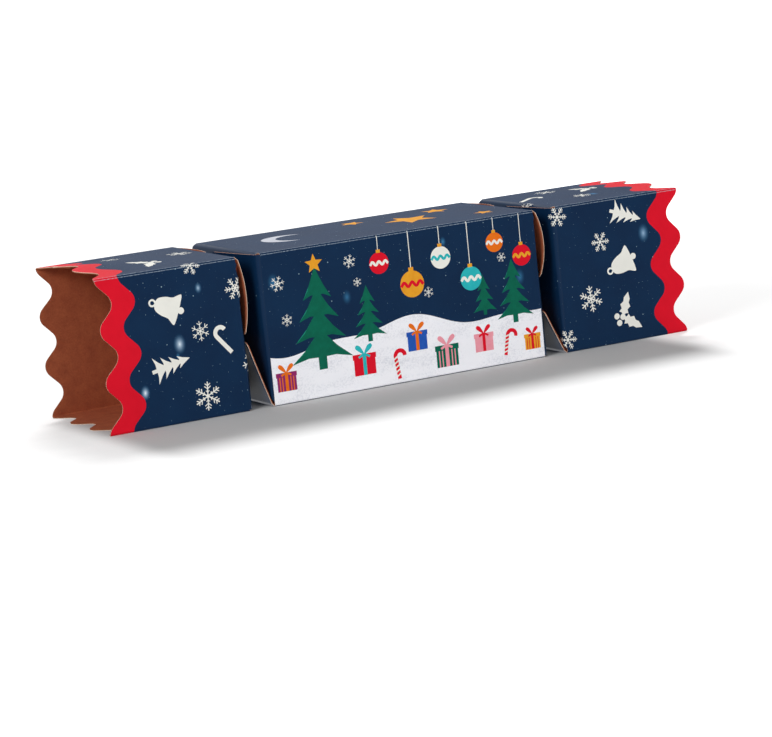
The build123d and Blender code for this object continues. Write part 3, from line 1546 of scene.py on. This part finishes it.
@dataclass(frozen=True)
class Softbox:
    """A square soft lamp: where it stands and points, in metres, its width and its power in watts."""

    name: str
    place: tuple[float, float, float]
    aim: tuple[float, float, float]
    size: float
    power: float


@dataclass
class Studio:
    """A plain white floor, soft lamps and the camera at the photograph's angle, placed in metres."""

    camera_place: tuple[float, float, float] = (-0.6291, -1.2460, 0.2339)
    camera_aim: tuple[float, float, float] = (0.0043, 0.0, 0.0017)
    camera_roll: float = 5.476
    focal_px: float = 3000.0
    photo_width: float = 772.0
    sensor: float = 36.0
    lamps: tuple[Softbox, ...] = (
        Softbox("back_softbox", (0.46, 1.08, 1.42), (0.0, 0.0, 0.03), 0.45, 21.0),
        Softbox("front_softbox", (0.35, -1.8, 0.3), (0.0, 0.0, 0.035), 1.0, 15.0),
        Softbox("left_softbox", (-1.45, -0.75, 0.9), (-0.1, 0.0, 0.035), 0.6, 15.0),
    )
    ambient: float = 0.26
    white: str = "#FFFFFF"
    paper: str = "#D2D2D2"
    floor_size: float = 14.0
    floor_reflected: float = 1.0
    # Where the floor stays plain, for the object's shadow: the middle and half the size of that place
    shaded_middle: tuple[float, float, float] = (-0.012, -0.04, 0.0)
    shaded_half: tuple[float, float, float] = (0.133, 0.04, 0.0)
    # The floor's white: its added strength, and how far off the shaded place it starts and is whole
    near_white: tuple[float, float, float] = (0.42, 0.0, 0.045)
    far_white: tuple[float, float, float] = (0.58, 0.5, 1.1)
    white_stretch: tuple[float, float, float] = (2.5, 1.0, 1.0)

    def build(self) -> None:
        """Set up the camera, the lamps, the floor and the white background."""
        scene = bpy.context.scene
        scene.view_settings.view_transform = "Standard"
        self.add_camera(scene)
        for lamp in self.lamps:
            self.add_lamp(scene, lamp)
        self.add_background(scene)
        self.add_floor(scene)

    def add_camera(self, scene: bpy.types.Scene) -> None:
        """Place the camera.

        Args:
            scene: The scene that uses it.
        """
        data = bpy.data.cameras.new("photo_camera")
        data.sensor_fit, data.sensor_width = "HORIZONTAL", self.sensor
        data.lens = self.focal_px / self.photo_width * self.sensor
        camera = bpy.data.objects.new("photo_camera", data)
        camera.location = self.camera_place
        look = (Vector(self.camera_aim) - camera.location).to_track_quat("-Z", "Y")
        camera.rotation_mode = "QUATERNION"
        camera.rotation_quaternion = look @ Quaternion((0, 0, 1), math.radians(-self.camera_roll))
        scene.collection.objects.link(camera)
        scene.camera = camera

    @staticmethod
    def add_lamp(scene: bpy.types.Scene, softbox: Softbox) -> None:
        """Place a soft lamp.

        Args:
            scene: The scene that it lights.
            softbox: Its place, size and power.
        """
        data = bpy.data.lights.new(softbox.name, "AREA")
        data.shape, data.size, data.energy = "SQUARE", softbox.size, softbox.power
        lamp = bpy.data.objects.new(softbox.name, data)
        lamp.location = softbox.place
        look = (Vector(softbox.aim) - lamp.location).to_track_quat("-Z", "Y")
        lamp.rotation_euler = look.to_euler()
        scene.collection.objects.link(lamp)

    @staticmethod
    def seen_directly(tree: Tree) -> Node:
        """Tell the rays that show the background from those that light the object.

        Args:
            tree: The node tree.

        Returns:
            The node that is 1 for camera, glossy and transmission rays.
        """
        path = add_node(tree, "LightPath").outputs
        seen = path["Is Camera Ray"]
        for ray in ("Is Glossy Ray", "Is Transmission Ray"):
            seen = add_node(tree, "Math", {0: seen, 1: path[ray]}, operation="MAXIMUM")
        return seen

    def add_background(self, scene: bpy.types.Scene) -> None:
        """A white background that lights the object only softly.

        Args:
            scene: The scene that gets the world.
        """
        world = bpy.data.worlds.new("white_studio")
        world.use_nodes = True
        tree = world.node_tree
        tree.nodes.clear()
        seen = self.seen_directly(tree)
        strength = add_node(tree, "MapRange", {"Value": seen, "To Min": self.ambient, "To Max": 1.0})
        light = add_node(tree, "Background", {"Color": linear(self.white), "Strength": strength})
        add_node(tree, "OutputWorld", {"Surface": light})
        scene.world = world

    def add_floor(self, scene: bpy.types.Scene) -> None:
        """A pale floor that keeps the object's shadow and fades to white away from it.

        Args:
            scene: The scene that gets the floor.
        """
        half = self.floor_size / 2
        mesh = bpy.data.meshes.new("floor")
        corners = [(-half, -half, 0), (half, -half, 0), (half, half, 0), (-half, half, 0)]
        mesh.from_pydata(corners, [], [(0, 1, 2, 3)])
        material = new_material("matt_white_paper_sweep")
        tree = material.node_tree
        # How far a place on the floor lies off the shaded one
        off = add_node(tree, "TexCoord").outputs["Object"]
        nothing = (0.0, 0.0, 0.0)
        for operation, other in (
            ("SUBTRACT", self.shaded_middle),
            ("ABSOLUTE", nothing),
            ("SUBTRACT", self.shaded_half),
            ("MAXIMUM", nothing),
            ("MULTIPLY", self.white_stretch),
            ("LENGTH", nothing),
        ):
            off = add_node(tree, "VectorMath", {0: off, 1: other}, operation=operation)
        lifts = {}
        for i, (strength, start, whole) in enumerate((self.near_white, self.far_white)):
            fade = {"Value": off, "From Min": start, "From Max": whole, "To Max": strength}
            lifts[i] = add_node(tree, "MapRange", fade, interpolation_type="SMOOTHSTEP")
        lift = add_node(tree, "Math", lifts, operation="ADD")
        in_camera = add_node(tree, "LightPath").outputs["Is Camera Ray"]
        whites = {"Value": in_camera, "To Min": self.floor_reflected, "To Max": lift}
        white = add_node(tree, "MapRange", whites)
        strength = add_node(tree, "Math", {0: white, 1: self.seen_directly(tree)}, operation="MULTIPLY")
        paper = add_node(tree, "BsdfDiffuse", {"Color": linear(self.paper)})
        glow = add_node(tree, "Emission", {"Color": linear(self.white), "Strength": strength})
        both = add_node(tree, "AddShader", {0: paper, 1: glow})
        add_node(tree, "OutputMaterial", {"Surface": both})
        mesh.materials.append(material)
        floor = bpy.data.objects.new("floor", mesh)
        scene.collection.objects.link(floor)


def main() -> None:
    """Build the studio and every sub-assembly of the cracker, and report each piece."""
    logging.basicConfig(level=logging.INFO, format="%(name)s %(message)s")
    Studio().build()
    palette = Palette.mixed()
    centre, left, right = CentrePrint().artwork(), LEFT_END.artwork(), RIGHT_END.artwork()
    on_neck = Artwork()
    # How far the middle of each side flares at an open end: the left end is spread more than the right
    left_flares = {Side.FRONT: 1.7, Side.TOP: 2.7, Side.BACK: 2.3}
    right_flares = {Side.FRONT: 0.2, Side.TOP: 1.3, Side.BACK: 0.6}
    tubes = (
        Tube("centre", "centre_print", -CARTON.centre_end, CARTON.centre_end, centre),
        Tube("left_end", "end_print", -CARTON.crest, -CARTON.end_start, left, left_flares),
        Tube("right_end", "end_print", CARTON.end_start, CARTON.crest, right, right_flares),
    )
    necks = (
        Neck("left", -1, on_neck, left, BOWED, STRAIGHT),
        Neck("right", 1, on_neck, right, BOWED_MORE, LEANING),
    )
    for tube in tubes:
        pieces = tube.build(palette)
        tube.dress(palette)
        log.info("%s: %d panels", tube.body, len(pieces))
    for neck in necks:
        log.info("%s neck: %d flaps", neck.name, len(neck.build(palette)))


if __name__ == "__main__":
    main()
